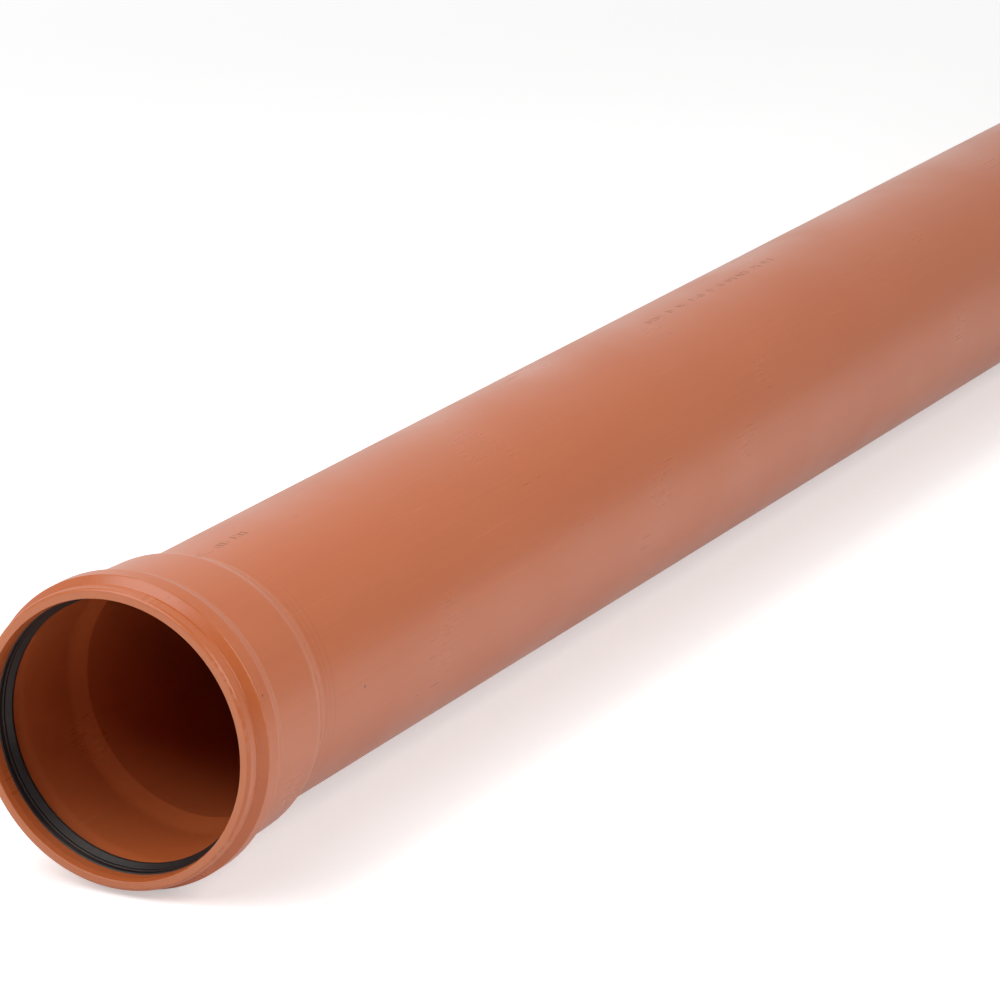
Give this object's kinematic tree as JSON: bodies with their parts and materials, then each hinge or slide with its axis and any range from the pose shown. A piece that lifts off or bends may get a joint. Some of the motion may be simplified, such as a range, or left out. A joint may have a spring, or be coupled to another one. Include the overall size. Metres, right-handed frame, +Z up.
{
  "type": "sewer pipe",
  "caption": "Straight orange-brown PVC-U sewer pipe: a belled socket with a bead and a black rubber lip seal at its mouth, a plain round barrel, and a chamfered plain end.",
  "frame": {"origin": "on the floor under the middle of the pipe's bounding box, as it lies at rest", "axes": "+X along the pipe from the socket's mouth to the plain end (it slopes 0.31 degrees down towards the plain end, because it lies on the socket's bead and on the plain end), +Z up"},
  "size_m": [2.0808, 0.1824, 0.1825],
  "materials": {
    "pvc_orange_brown": "satin",
    "rubber_black": "satin"
  },
  "bodies": {
    "root": {"pipe": "pvc_orange_brown", "sealing_ring": "rubber_black"}
  },
  "joints": []
}
